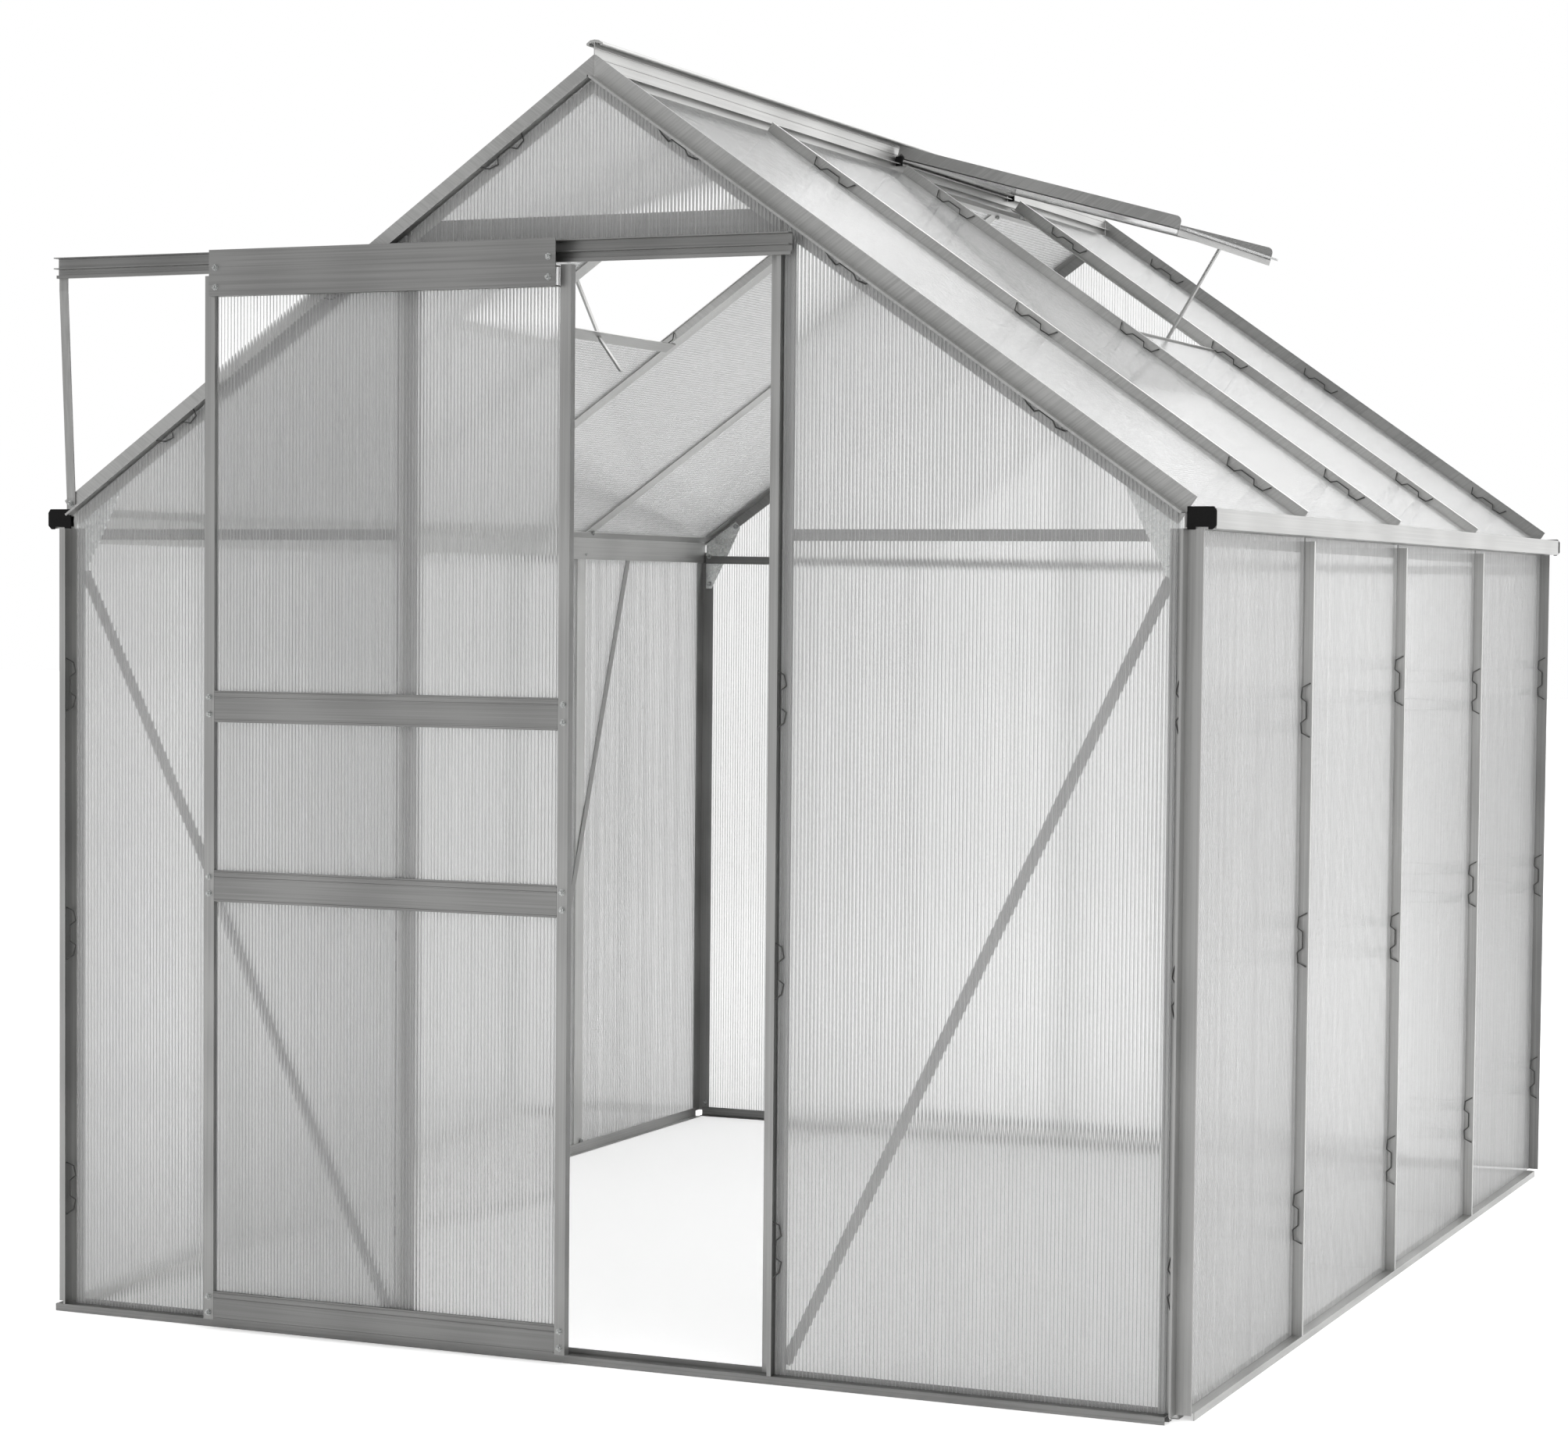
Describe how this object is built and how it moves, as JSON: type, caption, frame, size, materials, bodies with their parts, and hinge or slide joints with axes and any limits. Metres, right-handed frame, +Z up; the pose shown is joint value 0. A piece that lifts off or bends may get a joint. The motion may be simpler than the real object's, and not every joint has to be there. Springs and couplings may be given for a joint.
{
  "type": "walk-in greenhouse",
  "caption": "Walk-in garden greenhouse: gabled aluminium frame with twin-wall translucent sheets, propped roof vents and a sliding front door on a track.",
  "frame": {"origin": "on the ground under the middle of the whole greenhouse", "axes": "+Z up, -Y out of the front gable with the door, +X to the right seen from the front"},
  "size_m": [1.974, 2.599, 2.029],
  "materials": {
    "aluminium_bar": "mill-finish extruded bar, satin",
    "zinc_plate": "bright zinc-plated sheet steel",
    "twin_wall_sheet": "clear milky twin-wall sheet with fine ribs",
    "black_plastic": "moulded black end caps and seals",
    "clip_wire": "spring steel glazing clips",
    "bolt": "plated bolts and nuts"
  },
  "bodies": {
    "frame": {"door_head_bar": "aluminium_bar", "door_track": "aluminium_bar", "front_left_brace": "aluminium_bar", "front_left_corner_post": "aluminium_bar", "front_left_rafter": "aluminium_bar", "front_left_sheet": "twin_wall_sheet", "front_left_tie": "zinc_plate", "front_right_brace": "aluminium_bar", "front_right_corner_post": "aluminium_bar", "front_right_rafter": "aluminium_bar", "front_right_sheet": "twin_wall_sheet", "front_right_tie": "zinc_plate", "front_sill": "aluminium_bar", "gable_sheet": "twin_wall_sheet", "left_door_jamb": "aluminium_bar", "left_gutter": "aluminium_bar", "left_roof_bar_1": "aluminium_bar", "left_roof_bar_2": "aluminium_bar", "left_roof_bar_3": "aluminium_bar", "left_roof_sheets": "twin_wall_sheet", "left_roof_vent": "aluminium_bar", "left_sill": "aluminium_bar", "left_vent_sill_and_stay": "aluminium_bar", "left_wall_bar_1": "aluminium_bar", "left_wall_bar_2": "aluminium_bar", "left_wall_bar_3": "aluminium_bar", "left_wall_brace": "aluminium_bar", "left_wall_sheets": "twin_wall_sheet", "rear_left_corner_post": "aluminium_bar", "rear_left_mullion": "aluminium_bar", "rear_left_rafter": "aluminium_bar", "rear_right_corner_post": "aluminium_bar", "rear_right_mullion": "aluminium_bar", "rear_right_rafter": "aluminium_bar", "rear_sheets": "twin_wall_sheet", "rear_sill": "aluminium_bar", "rear_tie": "zinc_plate", "ridge": "aluminium_bar", "right_door_jamb": "aluminium_bar", "right_gutter": "aluminium_bar", "right_roof_bar_1": "aluminium_bar", "right_roof_bar_2": "aluminium_bar", "right_roof_bar_3": "aluminium_bar", "right_roof_sheets": "twin_wall_sheet", "right_roof_vent": "aluminium_bar", "right_sill": "aluminium_bar", "right_vent_sill_and_stay": "aluminium_bar", "right_wall_bar_1": "aluminium_bar", "right_wall_bar_2": "aluminium_bar", "right_wall_bar_3": "aluminium_bar", "right_wall_sheets": "twin_wall_sheet", "track_strut": "aluminium_bar"},
    "door": {"door_foot_rail": "aluminium_bar", "door_hanger": "aluminium_bar", "door_left_stile": "aluminium_bar", "door_lower_rail": "aluminium_bar", "door_right_stile": "aluminium_bar", "door_sheet": "twin_wall_sheet", "door_upper_rail": "aluminium_bar"}
  },
  "joints": [
    {"name": "door_slide", "type": "slide", "parent": "frame", "child": "door", "axis": [1, 0, 0], "range_m": [-0.3, 0.339]}
  ]
}
